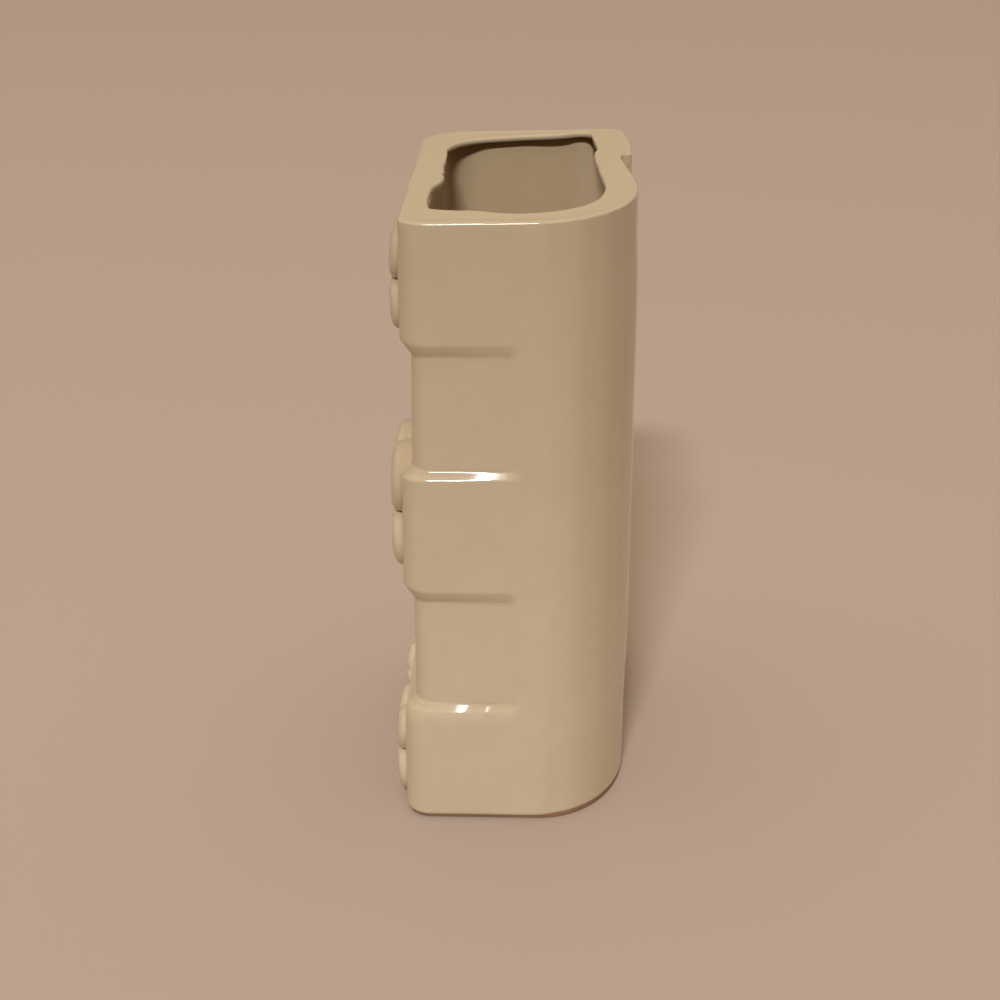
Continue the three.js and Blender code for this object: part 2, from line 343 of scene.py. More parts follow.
def as_points(plan, z):
    """Plan points at one height, with the kiln's warp."""
    return np.column_stack([plan, warped(plan, z)])


print("rim rises", round(RIM_RISE / MM, 1), "mm from front to back")

# %% [markdown]
# Inside, slip drains unevenly, so the far wall is thick at its front corner and thin at its back,
# which sets the shape of the lip's shadow. The cavity could follow the outside at one distance, but
# that shadow would be wrong, so the far end of its plan is turned.

# %% Drained cavity
FAR_THICKER = 9 * MM
FAR_THINNER = 0.9 * MM
FAR_LEAN = 0.19
TURN_START = 80 * MM
TURN_RUN = 41 * MM


def leaned(plan):
    """A cavity's plan with its far wall turned: thick at the front corner, thin at the back."""
    behind_front = plan[:, 1] - FRONT_Y
    shift = np.maximum(FAR_THICKER - FAR_LEAN * behind_front, -FAR_THINNER)
    far_share = smooth((NEAR_X - plan[:, 0] - TURN_START) / TURN_RUN)
    return plan + np.stack([shift * far_share, 0 * shift], 1)


front_cavity = leaned(front_curve(SIDE_WALL, FRONT_RECESS + WALL))
back_cavity = leaned(back_curve(SIDE_WALL))
print("far inner wall: turned by", round(math.degrees(math.atan(FAR_LEAN)), 1), "degrees")

# %% [markdown]
# A row of skin is the plan at one height, sunk into the recesses and pushed in or out by the warp.
# Faint upright flutes run round the back, from the scraping of the mould. Rows lie closer together
# at the ledges and near the foot, where the surface turns.

# %% Skins
FLUTE_DEPTH = 0.07 * MM
FLUTE_LENGTH = 11 * MM
FLUTE_AT_FOOT = 0.4
SHOULDER_RUN = 10 * MM
ROW_STEP = 4 * MM
FINE_STEP = 0.2 * MM
FINE_REACH = 0.7 * DOWN_LEDGE_FRONT
LEAST_STEP = 0.001 * MM


def outward(curve):
    """Unit normals that point out of a curve that runs anticlockwise."""
    run = np.gradient(curve, axis=0)
    run /= np.linalg.norm(run, axis=1)[:, None]
    return np.stack([run[:, 1], -run[:, 0]], 1)


fade = recess_fade(front_full[:, 1])
front_normal, back_normal = outward(front_full), outward(back_full)
facing = np.clip(-front_normal[:, 1], 0, 1)
behind = front_full[:, 1] - FRONT_Y
beads = sum(lean * np.exp(-(((behind - place) / width) ** 2)) for place, width, lean in BEADS)
beads *= np.clip(front_normal[:, 0], 0, 1)
back_run = np.cumsum(np.linalg.norm(np.gradient(back_full, axis=0), axis=1))
flutes = np.sin(2 * math.pi * back_run / FLUTE_LENGTH)


def front_skin(z):
    """One row of the outside, round the front."""
    plan = front_full + (front_recessed - front_full) * (sunk(z, facing, beads) * fade)[:, None]
    push = waviness(plan[:, 0], plan[:, 1], z) - tuck(z)
    return as_points(plan + front_normal * push[:, None], z)


def back_skin(z):
    """One row of the outside, round the back."""
    shoulder = smooth((back_full[:, 1] - SKIN_SEAM_Y) / SHOULDER_RUN)
    push = waviness(back_full[:, 0], back_full[:, 1], z) - tuck(z) - draft(z) * shoulder
    push += FLUTE_DEPTH * flutes * shoulder * (FLUTE_AT_FOOT + (1 - FLUTE_AT_FOOT) * z / TOP_Z)
    return as_points(back_full + back_normal * push[:, None], z)


def heights(low, high, fine_step=FINE_STEP):
    """Row heights from low to high, closer together at the ledges and near the foot."""
    edges = [edge for recess in RECESSES for edge in recess] + [SKIN_FOOT_Z]
    rows = [low]
    while rows[-1] < high - LEAST_STEP:
        near = min(abs(rows[-1] - edge) for edge in edges)
        pace = fine_step if near < FINE_REACH else ROW_STEP
        rows.append(min(rows[-1] + pace, high))
    return rows


print("rows of skin from foot to rim:", len(heights(SKIN_FOOT_Z, RIM_Z)))

# %% [markdown]
# One builder makes every piece of the vessel. It takes a grid of points, joins neighbours with
# quads, closes the grid into a solid and shades it smooth, with a crease only where two faces meet
# at a steep angle. Two numbers travel with each point: how much the glaze has thinned or pooled. In
# places they also carry painted light and shade: a paler flat shelf, a darker valley groove, and a
# darker inside.

# %% Mesh builder
CREASE = math.radians(42)
# The inside takes the darker, warmer pooled tone: partly thicker glass, partly painted shade in the
# cavity.
INSIDE_POOL_AND_SHADE = 0.7


def make_piece(name, points, faces, thin=None, pool=None):
    """A mesh object from points and faces, with its glaze values."""
    mesh = bpy.data.meshes.new(name)
    mesh.from_pydata(np.asarray(points).tolist(), [], faces)
    work = bmesh.new()
    work.from_mesh(mesh)
    bmesh.ops.recalc_face_normals(work, faces=work.faces)
    for face in work.faces:
        face.smooth = True
    for edge in work.edges:
        edge.smooth = edge.calc_face_angle(0) < CREASE
    work.to_mesh(mesh)
    work.free()
    for label, values in (("glaze_thin_and_lit", thin), ("glaze_pool_and_shade", pool)):
        layer = mesh.attributes.new(label, "FLOAT", "POINT")
        if values is not None:
            layer.data.foreach_set("value", np.asarray(values, np.float32).ravel())
    piece = bpy.data.objects.new(name, mesh)
    bpy.context.scene.collection.objects.link(piece)
    print(name + ":", len(mesh.vertices), "points,", len(mesh.polygons), "faces")
    return piece


def grid_faces(rows, columns, wrap_rows, wrap_columns):
    """Quads between neighbours of a grid, whose points are numbered row by row."""
    number = np.arange(rows * columns).reshape(rows, columns)
    if wrap_rows:
        number = np.vstack([number, number[:1]])
    if wrap_columns:
        number = np.hstack([number, number[:, :1]])
    corners = (number[:-1, :-1], number[:-1, 1:], number[1:, 1:], number[1:, :-1])
    return np.stack([c.ravel() for c in corners], 1).tolist()


def ladder_caps(rows, columns):
    """Closes the two ends of a grid whose rows run up the outside and back down the inside."""
    caps = []
    for row in range(rows // 2 - 1):
        back = rows - 1 - row
        for column in (0, columns - 1):
            caps.append([r * columns + column for r in (row, row + 1, back - 1, back)])
    return caps


def wall_piece(name, outer_rows, inner_rows, thin=None, pool=None):
    """A curved slab: rows of its outside going up, then rows of its inside coming down."""
    rows = list(outer_rows) + list(inner_rows)[::-1]
    count, columns = len(rows), len(rows[0])
    faces = grid_faces(count, columns, True, False) + ladder_caps(count, columns)
    outside = np.zeros(len(outer_rows) * columns)
    inside = np.ones(len(inner_rows) * columns)
    thin = np.append(outside if thin is None else thin, 0 * inside)
    # Partly painted shade: the inside takes the pooled tone.
    pool = np.append(outside if pool is None else pool, INSIDE_POOL_AND_SHADE * inside)
    return make_piece(name, np.concatenate(rows), faces, thin, pool)


# %% [markdown]
# The walls are two moulded halves. The front half shows only in the two recesses; behind the bands
# it steps back half a millimetre, so that no two skins lie in the same place, and inside it laps a
# little past the seam. The rear half carries the broad shoulder, the crown and the shallow valley,
# from the floor up to the rim. The groove beside the valley's step takes the darker pooled tone, as
# painted shade.

# %% Walls
BEHIND = 0.5 * MM
JOINT = 0.15 * MM
STEP_PAINTED_SHADE = 1.1
STEP_SHADE_WIDTH = 1.4 * MM
LAP = 1.5 * MM
LAP_BEHIND = 0.05 * MM
WALL_LOW = FLOOR_TOP + JOINT
WALL_HIGH = RIM_Z - JOINT
front_hidden = front_recessed - front_normal * BEHIND


def recess_ends(recess):
    """Where the front wall comes out from behind the band below, and goes in behind the one above."""
    below = UP_LEDGE_FRONT * (1 - UP_TURNS[0] + UP_TURNS[1]) / 2
    above = DOWN_LEDGE_FRONT * (1 - DOWN_TURNS[0] + DOWN_TURNS[1]) / 2
    return recess[0] + below, recess[1] - above


front_outer = [as_points(front_hidden, WALL_LOW)]
for recess in RECESSES:
    low, high = recess_ends(recess)
    front_outer.append(as_points(front_hidden, low))
    front_outer += [front_skin(z) for z in heights(low, high)]
    front_outer.append(as_points(front_hidden, high))
front_outer.append(as_points(front_hidden, WALL_HIGH))
inner_heights = np.linspace(WALL_LOW, WALL_HIGH, len(front_outer))
front_lap = front_cavity.copy()
front_lap[0] += (-LAP_BEHIND - FAR_LEAN * LAP, LAP)
front_lap[-1] += (LAP_BEHIND, LAP)
front_inner = [as_points(front_lap, z) for z in inner_heights]
front_wall = wall_piece("front_wall_cast", front_outer, front_inner)

rear_heights = heights(WALL_LOW, WALL_HIGH, ROW_STEP)
rear_outer = [back_skin(z) for z in rear_heights]
rear_inner = [as_points(back_cavity, z) for z in rear_heights]
groove_x = FAR_X + VALLEY_FROM_FAR - VALLEY_STEP / 2
# Painted shade: the groove beside the valley's step takes the darker pooled tone.
step_shade_mask = np.exp(-(((back_full[:, 0] - groove_x) / STEP_SHADE_WIDTH) ** 2))
rear_step_shade = np.tile(STEP_PAINTED_SHADE * step_shade_mask, len(rear_outer))
rear_wall = wall_piece("rear_wall_cast", rear_outer, rear_inner, pool=rear_step_shade)

# %% [markdown]
# The bands are straps of clay round the front, flush with the rear wall. Their skins run from the
# foot of one ledge to the head of the next, and their hidden backs are bedded in the wall.

# %% Bands
BEDDED = 1.2 * MM
LEDGE_POOL = 0.5
front_bedded = front_recessed - front_normal * BEDDED


def strap(name, low, high):
    """One raised band, with the ledges above and below it."""
    rows = heights(low, high)
    outer = [front_skin(z) for z in rows]
    inner = [as_points(front_bedded, z) for z in rows]
    depth = np.array([sunk(z, facing, beads) * fade for z in rows])
    turn = 4 * depth * (1 - depth)
    return wall_piece(name, outer, inner, thin=turn * (1 - depth), pool=LEDGE_POOL * turn * depth)


band_bottom = strap("band_bottom_cast", SKIN_FOOT_Z, recess_ends(RECESSES[0])[0])
band_middle = strap("band_middle_cast", recess_ends(RECESSES[0])[1], recess_ends(RECESSES[1])[0])
band_top = strap("band_top_cast", recess_ends(RECESSES[1])[1], WALL_HIGH)

# %% [markdown]
# The floor slab closes the cavity. Its edge shows round the back below the wall, and inside it turns
# up into the walls with the soft cove that slip leaves when the mould is drained. It is a stack of
# rings, from the middle of its underside, round its edge, to the middle of its top.

# %% Floor slab
COVE = 6 * MM
COVE_TURNS = np.linspace(0, math.pi / 2, 9)
INTO_WALL = 1 * MM
UNDERSIDE_Z = FOOT_TOP + 0.2 * MM
UNDERSIDE_RINGS = (0.05, 0.4, 0.75, 0.93)
FLOOR_RINGS = (0.8, 0.55, 0.3, 0.05)
whole_full = np.vstack([front_full[:-1], back_full[:-1]])
whole_hidden = np.vstack([front_hidden[:-1], back_full[:-1]])
whole_cavity = np.vstack([front_cavity[:-1], back_cavity[:-1]])
whole_normal = np.vstack([front_normal[:-1], back_normal[:-1]])
MIDDLE = (whole_cavity.min(0) + whole_cavity.max(0)) / 2


def slab_edge(z):
    """One row of the slab's edge: skin at the back, up to both seams, and hidden in front."""
    skin = back_skin(z)
    return np.vstack([skin[-1:], as_points(front_hidden, z)[1:-1], skin[:-1]])


def shrunk(plan, share):
    """A plan drawn in towards the middle of the cavity."""
    return MIDDLE + (plan - MIDDLE) * share


def fan_caps(rows, columns):
    """Faces to two middle points, which close the first and last ring of a stack."""
    first, last = rows * columns, rows * columns + 1
    top = (rows - 1) * columns
    caps = [[first, (c + 1) % columns, c] for c in range(columns)]
    return caps + [[last, top + c, top + (c + 1) % columns] for c in range(columns)]


slab_rows = [as_points(shrunk(whole_hidden, share), UNDERSIDE_Z) for share in UNDERSIDE_RINGS]
slab_rows += [slab_edge(z) for z in heights(SKIN_FOOT_Z, WALL_LOW)]
slab_rows.append(as_points(whole_cavity + whole_normal * INTO_WALL, WALL_LOW))
for turn in COVE_TURNS:
    inward = COVE * (1 - math.cos(turn)) - JOINT
    rise = COVE * (1 - math.sin(turn))
    slab_rows.append(as_points(whole_cavity - whole_normal * inward, FLOOR_TOP + rise))
last_ring = slab_rows[-1][:, :2]
slab_rows += [as_points(shrunk(last_ring, share), FLOOR_TOP) for share in FLOOR_RINGS]
middles = [(*MIDDLE, UNDERSIDE_Z), (*MIDDLE, FLOOR_TOP)]
columns = len(whole_full)
slab_faces = grid_faces(len(slab_rows), columns, False, True) + fan_caps(len(slab_rows), columns)
floor_slab = make_piece("floor_slab_cast", np.vstack(slab_rows + [middles]), slab_faces)

# %% [markdown]
# The foot ring under the slab is the one place that glaze was wiped from, so that the planter doesn't
# stick to the kiln. Its profile is swept round the plan: each pair is a setback and a height.

# %% Foot ring
FOOT_INNER = FOOT_SETBACK + 8 * MM
FOOT_BEVEL = 0.3 * MM
BEVEL_TURN = 0.3 * FOOT_BEVEL
FOOT_BEDDED_Z = FOOT_TOP + 0.8 * MM
foot_profile = (
    (FOOT_SETBACK, FOOT_BEDDED_Z),
    (FOOT_SETBACK, FOOT_BEVEL),
    (FOOT_SETBACK + BEVEL_TURN, BEVEL_TURN),
    (FOOT_SETBACK + FOOT_BEVEL, 0),
    (FOOT_INNER - FOOT_BEVEL, 0),
    (FOOT_INNER - BEVEL_TURN, BEVEL_TURN),
    (FOOT_INNER, FOOT_BEVEL),
    (FOOT_INNER, FOOT_BEDDED_Z),
)
foot_rows = []
for inset, z in foot_profile:
    plan = np.vstack([front_curve(inset, inset)[:-1], back_curve(inset)[:-1]])
    foot_rows.append(as_points(plan, z))
foot_faces = grid_faces(len(foot_rows), columns, True, True)
foot_ring = make_piece("foot_ring_bare", np.vstack(foot_rows), foot_faces)

# %% [markdown]
# The rim is a flat shelf that was closed over the mould and cut open with a knife while the clay was
# soft, so its mouth is no neat oval: it bulges, slants and has corners. The points below follow the
# cut. A closed curve through them keeps the turns soft, and slow waves give the knife's wander. The
# lip is thin and rolled, and the shelf grows thicker towards the wall, where it can't be seen.

# %% Mouth
# Each pair is a distance from the near side and a distance from the front, in millimetres.
MOUTH_CUT = (
    (17.5, 10), (15.8, 16), (15.2, 22), (12.2, 28), (11, 35), (12.7, 43), (16, 49.2), (20, 53.4),
    (26, 56.6), (33, 58.2), (42, 58.9), (54, 58.5), (73, 56.9), (86, 56.7), (93, 57.6), (101, 57.2),
    (110, 56.5), (117.6, 55.8), (119.2, 52), (116.6, 45), (114.6, 29), (112, 19.8), (106.5, 13.4),
    (97.5, 10), (89, 10), (71, 10.2), (65, 10.3), (62.5, 9.6), (60, 10.5), (55, 10.5), (50, 9.7),
    (44, 8.1), (37, 7.6), (27, 7.5), (20, 8.4),
)
CUT_SAMPLES = 24
KNIFE_WAVES = ((0.18 * MM, 31 * MM, 0.4), (0.06 * MM, 14 * MM, 2.2))


def closed_curve(points, samples):
    """A closed curve through every point, with samples between each two."""
    p = np.array(points)
    before, after, beyond = np.roll(p, 1, 0), np.roll(p, -1, 0), np.roll(p, -2, 0)
    bend = 2 * before - 5 * p + 4 * after - beyond
    twist = 3 * p - before - 3 * after + beyond
    steps = np.linspace(0, 1, samples, endpoint=False)
    pieces = [(2 * p + (after - before) * t + bend * t**2 + twist * t**3) / 2 for t in steps]
    return np.stack(pieces, 1).reshape(-1, 2)


cut = closed_curve([(NEAR_X - w * MM, FRONT_Y + u * MM) for w, u in MOUTH_CUT], CUT_SAMPLES)
along_cut = np.cumsum(np.linalg.norm(cut - np.roll(cut, 1, 0), axis=1))
from_middle = cut - MIDDLE
cut_angle = np.arctan2(from_middle[:, 1], from_middle[:, 0])
cut_reach = np.linalg.norm(from_middle, axis=1)
for depth, length, phase in KNIFE_WAVES:
    turns = round(along_cut[-1] / length)
    cut_reach = cut_reach + depth * np.sin(2 * math.pi * turns * along_cut / along_cut[-1] + phase)
order = np.argsort(cut_angle)
whole_angle = np.arctan2(*(whole_full - MIDDLE).T[::-1])
reach = np.interp(whole_angle, cut_angle[order], cut_reach[order], period=2 * math.pi)
mouth = MIDDLE + np.stack([np.cos(whole_angle), np.sin(whole_angle)], 1) * reach[:, None]
print("mouth: about", np.round((mouth.max(0) - mouth.min(0)) / MM, 1), "mm across")

# %% Rim shelf
RIM_ROUND = 0.75 * MM
LIP_ROUND = 1.0 * MM
DISH = 0.15 * MM
LIP_LIFT = 0.4
# Besides thin glass on the edges, this value paints the flat shelf paler, as lit from above, and lifts
# the painted shade at the head there.
SHELF_THIN_AND_LIT = 1.2
SHELF_DROP = 0.15 * MM
SAG_DEPTH = 0.14 * MM
SAG_ACROSS = 17 * MM
SAG_BACK = 15 * MM
SAG_PHASE = 0.8
SOFFIT_SET = 0.8 * MM
SOFFIT_RISE = 0.5 * MM
EDGE_TURNS = np.linspace(0, math.pi / 2, 9)
SHELF_SHARES = np.linspace(0, 1, 12)[1:]
LIP_TURNS = np.linspace(0, math.radians(165), 14)[1:]
to_mouth = mouth - whole_full
to_mouth /= np.linalg.norm(to_mouth, axis=1)[:, None]
edge_skin = np.vstack([front_skin(WALL_HIGH)[:-1], back_skin(WALL_HIGH)[:-1]])[:, :2]
rim_rows, rim_thin_and_lit, rim_pool_and_shade = [], [], []


def add_row(plan, z, thin=0.0, pool=0.0):
    """Keeps one row of the rim, and its thin and pool values, which on the shelf also carry painted light
    and under it partly painted shade.
    """
    rim_rows.append(as_points(plan, z))
    rim_thin_and_lit.append(np.full(len(plan), thin))
    rim_pool_and_shade.append(np.full(len(plan), pool))


def shelf_z(plan, drop):
    """The shelf's height less a drop: level, with the slow sag of soft clay."""
    sag = SAG_DEPTH * np.sin(plan[:, 0] / SAG_ACROSS + SAG_PHASE) * np.cos(plan[:, 1] / SAG_BACK)
    return TOP_Z - SHELF_DROP + sag - drop


add_row(edge_skin, WALL_HIGH)
for turn in EDGE_TURNS:
    plan = edge_skin - whole_normal * RIM_ROUND * (1 - math.cos(turn))
    add_row(plan, shelf_z(plan, RIM_ROUND * (1 - math.sin(turn))), SHELF_THIN_AND_LIT * math.sin(turn))
shelf_start = rim_rows[-1][:, :2]
lip_start = mouth - to_mouth * LIP_ROUND
# Painted light: the flat shelf takes the paler thin tone all across.
for share in SHELF_SHARES:
    plan = shelf_start + (lip_start - shelf_start) * share
    dip = DISH * smooth(2.4 * share) * (1 - LIP_LIFT * smooth(3 * share - 2))
    add_row(plan, shelf_z(plan, dip), SHELF_THIN_AND_LIT)
lip_drop = (1 - LIP_LIFT) * DISH
for turn in LIP_TURNS:
    plan = mouth - to_mouth * LIP_ROUND * (1 - math.sin(turn))
    thin = SHELF_THIN_AND_LIT * max(math.cos(turn), 0)
    add_row(plan, shelf_z(plan, lip_drop + LIP_ROUND * (1 - math.cos(turn))), thin)
# Under the shelf, the same pooled tone, partly painted shade.
add_row(whole_cavity - whole_normal * SOFFIT_SET, RIM_Z + SOFFIT_RISE, pool=INSIDE_POOL_AND_SHADE)
add_row(whole_cavity, RIM_Z, pool=INSIDE_POOL_AND_SHADE)
add_row(whole_cavity + whole_normal * INTO_WALL, WALL_HIGH)
add_row(edge_skin - whole_normal * BEDDED, WALL_HIGH)
rim_faces = grid_faces(len(rim_rows), columns, True, True)
rim_glaze = (np.concatenate(rim_thin_and_lit), np.concatenate(rim_pool_and_shade))
rim_shelf = make_piece("rim_shelf_cast", np.vstack(rim_rows), rim_faces, *rim_glaze)

# %% [markdown]
# The sprigs are small reliefs pressed in a mould and stuck on with slip. A blossom is drawn in polar
# steps: a four-lobed outline, petals that swell and dip towards a domed eye, and a groove between
# each two. A leaf is drawn along its midrib. Both flare at the foot, where glaze fills the corner.

# %% Relief helpers
SUNK = 0.6 * MM
FLARE = 0.9 * MM
FILLET_DEPTH = 0.8 * MM
RELIEF_POOL = 0.5


def on_front(place, across, up, out):
    """Points of a relief, given across, up and out of the front, set at its place on a band."""
    x = place[0] + across
    y = FRONT_Y + front_ease(x) - out
    flat = np.stack([x, y, place[1] + up], -1).reshape(-1, 3)
    return as_points(flat[:, :2], flat[:, 2])


def seat_of(node_name):
    """Where a sprig's solid sits on its band: its middle, its half height and its relief."""
    low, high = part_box(node_name)
    return ((low.x + high.x) / 2, (low.z + high.z) / 2), (high.z - low.z) / 2, FRONT_Y - low.y


def seat_depth(z):
    """How far the front's skin lies behind the face of the bands, at a height."""
    return FRONT_RECESS * sunk(z, 1.0)


def glaze_values(height, relief):
    """Glaze thins on the crests of a relief and pools round its foot."""
    crest = np.clip(height / relief, 0, 1) ** 3
    pool = RELIEF_POOL * np.exp(-((np.clip(height, 0, None) / FILLET_DEPTH) ** 2))
    return crest.ravel(), pool.ravel()


# %% Blossoms
SPOKES = 168
PETAL_NOTCH = 0.5
PETAL_RISE = 0.72
PETAL_SWELL = 0.13
FURROW = 0.34
FURROW_WIDTH = 0.22
VEIN_DEPTH = 0.35 * MM
VEIN_WIDTH = 0.16
EYE_RADIUS = 5.4 * MM
EYE_RELIEF = 0.98
DIMPLES = 7
DIMPLE_DEPTH = 0.22 * MM
MOAT_RADIUS = 6.3 * MM
MOAT_WIDTH = 1.1 * MM
MOAT_DEPTH = 0.6 * MM
FLARE_STEPS = np.array([0.25, 0.6, 1.0])[:, None]
FILLET_RISE = 0.45 * MM
FILLET_SINK = 0.1 * MM
BLOSSOM_RELIEF = {"bottom": 0.92, "middle": 1.0, "top": 0.84}


def blossom_height(spin, share, radius, relief):
    """How far a blossom's top stands out: veined petals round a dimpled eye in a moat."""
    petal = relief * (PETAL_RISE + PETAL_SWELL * np.sin(math.pi * share**1.3))
    petal = petal * (1 - share**10) ** 0.5
    furrow = np.exp(-((np.sin(2 * spin) / FURROW_WIDTH) ** 2)) * smooth(share * 2.2)
    vein = np.exp(-((np.cos(2 * spin) / VEIN_WIDTH) ** 2))
    vein = vein * smooth(share * 2) * smooth((0.9 - share) * 4)
    petal = petal * (1 - FURROW * furrow) - VEIN_DEPTH * vein
    dome = np.sqrt(np.clip(1 - (radius / EYE_RADIUS) ** 2, 0, 1))
    dimples = DIMPLE_DEPTH * np.cos(DIMPLES * spin) * smooth(radius / EYE_RADIUS * 1.6) * dome
    moat = MOAT_DEPTH * np.exp(-(((radius - MOAT_RADIUS) / MOAT_WIDTH) ** 2))
    height = np.maximum(petal - moat, relief * EYE_RELIEF * dome + dimples)
    height[0] = height[0].max()
    return height


def blossom(node_name):
    """A four-petalled blossom, whose upper petals may be longer than its lower ones."""
    low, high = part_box(node_name)
    half_width = (high.x - low.x) / 2
    place = (low.x + half_width, low.z + half_width)
    stretch = (high.z - place[1]) / half_width
    relief = (FRONT_Y - low.y) * BLOSSOM_RELIEF[node_name.split("_")[1]]
    spin = np.radians(np.linspace(0, 360, SPOKES, endpoint=False))[None, :]
    lobes = PETAL_NOTCH + (1 - PETAL_NOTCH) * np.abs(np.sin(2 * spin)) ** 0.8
    outline = half_width * lobes / (lobes * np.cos(spin)).max()
    share = np.concatenate([np.linspace(0, 0.8, 22), np.linspace(0.82, 1, 14)])[:, None]
    radius = share * outline
    height = blossom_height(spin, share, radius, relief)
    fillet = FILLET_RISE * (1 - FLARE_STEPS) ** 2 - FILLET_SINK
    radius = np.vstack([radius, outline + FLARE * FLARE_STEPS, outline + FLARE])
    height = np.vstack([height, fillet + 0 * spin, np.full((1, SPOKES), -SUNK)])
    across = radius * np.cos(spin)
    up = radius * np.where(np.sin(spin) > 0, stretch, 1) * np.sin(spin)
    rows, seated = len(radius), len(FLARE_STEPS) + 1
    out = height.copy()
    out[-seated:] -= seat_depth(place[1] + up[-seated:])
    points = on_front(place, across, up, out)
    middles = on_front(place, np.zeros(2), np.zeros(2), np.array([height[0, 0], -SUNK]))
    faces = grid_faces(rows, SPOKES, False, True) + fan_caps(rows, SPOKES)
    thin, pool = glaze_values(np.append(height, [height[0, 0], -SUNK]), relief)
    return make_piece(node_name + "_sprig", np.vstack([points, middles]), faces, thin, pool)


# %% Leaf sprays
LEAF_LENGTH = 13.5 * MM
LEAF_WIDTH = 8.6 * MM
LEAF_TIP = 0.15 * MM
LEAF_TILT = math.radians(30)
LEAF_PAIR_RISE = 9 * MM
MIDRIB_DEPTH = 0.42 * MM
MIDRIB_WIDTH = 0.13
BRANCHES = 5
BRANCH_LEAN = 1.3
BRANCH_DEPTH = 0.10 * MM
STEM_LENGTH = 19 * MM
STEM_WIDTH = 4.2 * MM
STEM_RELIEF = 0.8


def leaf_grid(length, width, relief):
    """A leaf along its midrib: how far across, along and out each point of its top lies."""
    along = np.linspace(0, 1, 30)[:, None]
    side = np.sin(np.linspace(-math.pi / 2, math.pi / 2, 21))[None, :]
    half_width = width / 2 * np.sin(math.pi * along**0.9) ** 0.8 + LEAF_TIP
    bulge = (1 - np.abs(side) ** 3.4) ** 0.55 * (0.12 + 0.88 * np.sin(math.pi * along) ** 0.5)
    midrib = np.exp(-((side / MIDRIB_WIDTH) ** 2)) * smooth(along * 6) * smooth((1 - along) * 3)
    branch = np.cos(2 * math.pi * (BRANCHES * along - BRANCH_LEAN * np.abs(side)))
    height = relief * bulge - MIDRIB_DEPTH * midrib + BRANCH_DEPTH * branch * bulge
    return half_width * side, along * length + 0 * side, height


def leaf_shell(place, base, angle, length, width, relief):
    """One leaf as the points, faces and glaze values of a closed shell."""
    across, along, height = leaf_grid(length, width, relief)
    x = base[0] + along * math.cos(angle) - across * math.sin(angle)
    z = base[1] + along * math.sin(angle) + across * math.cos(angle)
    rows, columns = x.shape
    count = rows * columns
    under = np.full_like(x, -SUNK)
    points = np.vstack([on_front(place, x, z, height), on_front(place, x, z, under)])
    top_faces = grid_faces(rows, columns, False, False)
    faces = top_faces + [[count + i for i in face[::-1]] for face in top_faces]
    number = np.arange(count).reshape(rows, columns)
    ring = [*number[:, 0], *number[-1, 1:], *number[-2::-1, -1], *number[0, -2:0:-1]]
    pairs = zip(ring, ring[1:] + ring[:1])
    faces += [[int(a), int(b), int(count + b), int(count + a)] for a, b in pairs]
    thin, pool = glaze_values(np.stack([height, under]), relief)
    return points, faces, thin, pool


def leaf_spray(node_name):
    """A stem with two pairs of leaves and one at its tip."""
    place, half_height, relief = seat_of(node_name)
    foot = -half_height
    upright = math.pi / 2
    shells = [leaf_shell(place, (0, foot), upright, STEM_LENGTH, STEM_WIDTH, STEM_RELIEF * relief)]
    for pair in range(2):
        base = (0, foot + LEAF_LENGTH / 3 + pair * LEAF_PAIR_RISE)
        for angle in (LEAF_TILT, math.pi - LEAF_TILT):
            shells.append(leaf_shell(place, base, angle, LEAF_LENGTH, LEAF_WIDTH, relief))
    tip_base = (0, half_height - LEAF_LENGTH)
    shells.append(leaf_shell(place, tip_base, upright, LEAF_LENGTH, LEAF_WIDTH, relief))
    points, faces, thin, pool = [], [], [], []
    for shell_points, shell_faces, shell_thin, shell_pool in shells:
        start = sum(len(p) for p in points)
        points.append(shell_points)
        faces += [[start + i for i in face] for face in shell_faces]
        thin.append(shell_thin)
        pool.append(shell_pool)
    return make_piece(
        node_name + "_sprig", np.vstack(points), faces, np.concatenate(thin), np.concatenate(pool)
    )


sprigs = {}
for node_name in sorted(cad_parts):
    if node_name.startswith("blossom"):
        sprigs[node_name] = blossom(node_name)
    elif node_name.startswith("leaves"):
        sprigs[node_name] = leaf_spray(node_name)
print("sprigs:", len(sprigs))

# %% [markdown]
# Two finishes cover the whole planter. Colours are written as sRGB hex, as a painter would read them
# off a screen, and one function turns them into the linear values that the shader works in.

# %% Colour and node helpers
def colour(code):
    """Linear red, green, blue and alpha from an sRGB hex code."""
    channels = [int(code[i:i + 2], 16) / 255 for i in (1, 3, 5)]
    return [c / 12.92 if c <= 0.04045 else ((c + 0.055) / 1.055) ** 2.4 for c in channels] + [1.0]


def node(tree, kind, inputs=None, **settings):
    """Adds a node, applies its settings, and sets or links its inputs by name or number."""
    made = tree.nodes.new(kind)
    for label, value in settings.items():
        setattr(made, label, value)
    for key, value in (inputs or {}).items():
        if isinstance(value, bpy.types.NodeSocket):
            tree.links.new(value, made.inputs[key])
        else:
            made.inputs[key].default_value = value
    return made


def new_material(name):
    """An empty node material and its tree."""
    material = bpy.data.materials.new(name)
    material.use_nodes = True
    material.node_tree.nodes.clear()
    return material, material.node_tree


# %% [markdown]
# The glaze is a clear, slightly yellow glass over a cream earthenware body. It gives the eye a soft
# ivory that hardly varies, and a tone that turns warmer where the glass is thick and paler where it
# ran thin over an edge. These tones also carry painted light and shade. The flat shelf is painted
# paler, as lit from above. The inside takes the darker pooled tone, partly as thicker glass and partly
# as painted shade in the cavity, and the groove by the valley's step takes it as painted shade. The
# ivory is painted darker towards the head than at the foot, as painted shade, except where the pooled
# tone is strong.

# %% Glaze tones
IVORY = "#D3C1A6"
IVORY_WARM = "#CFBC9F"
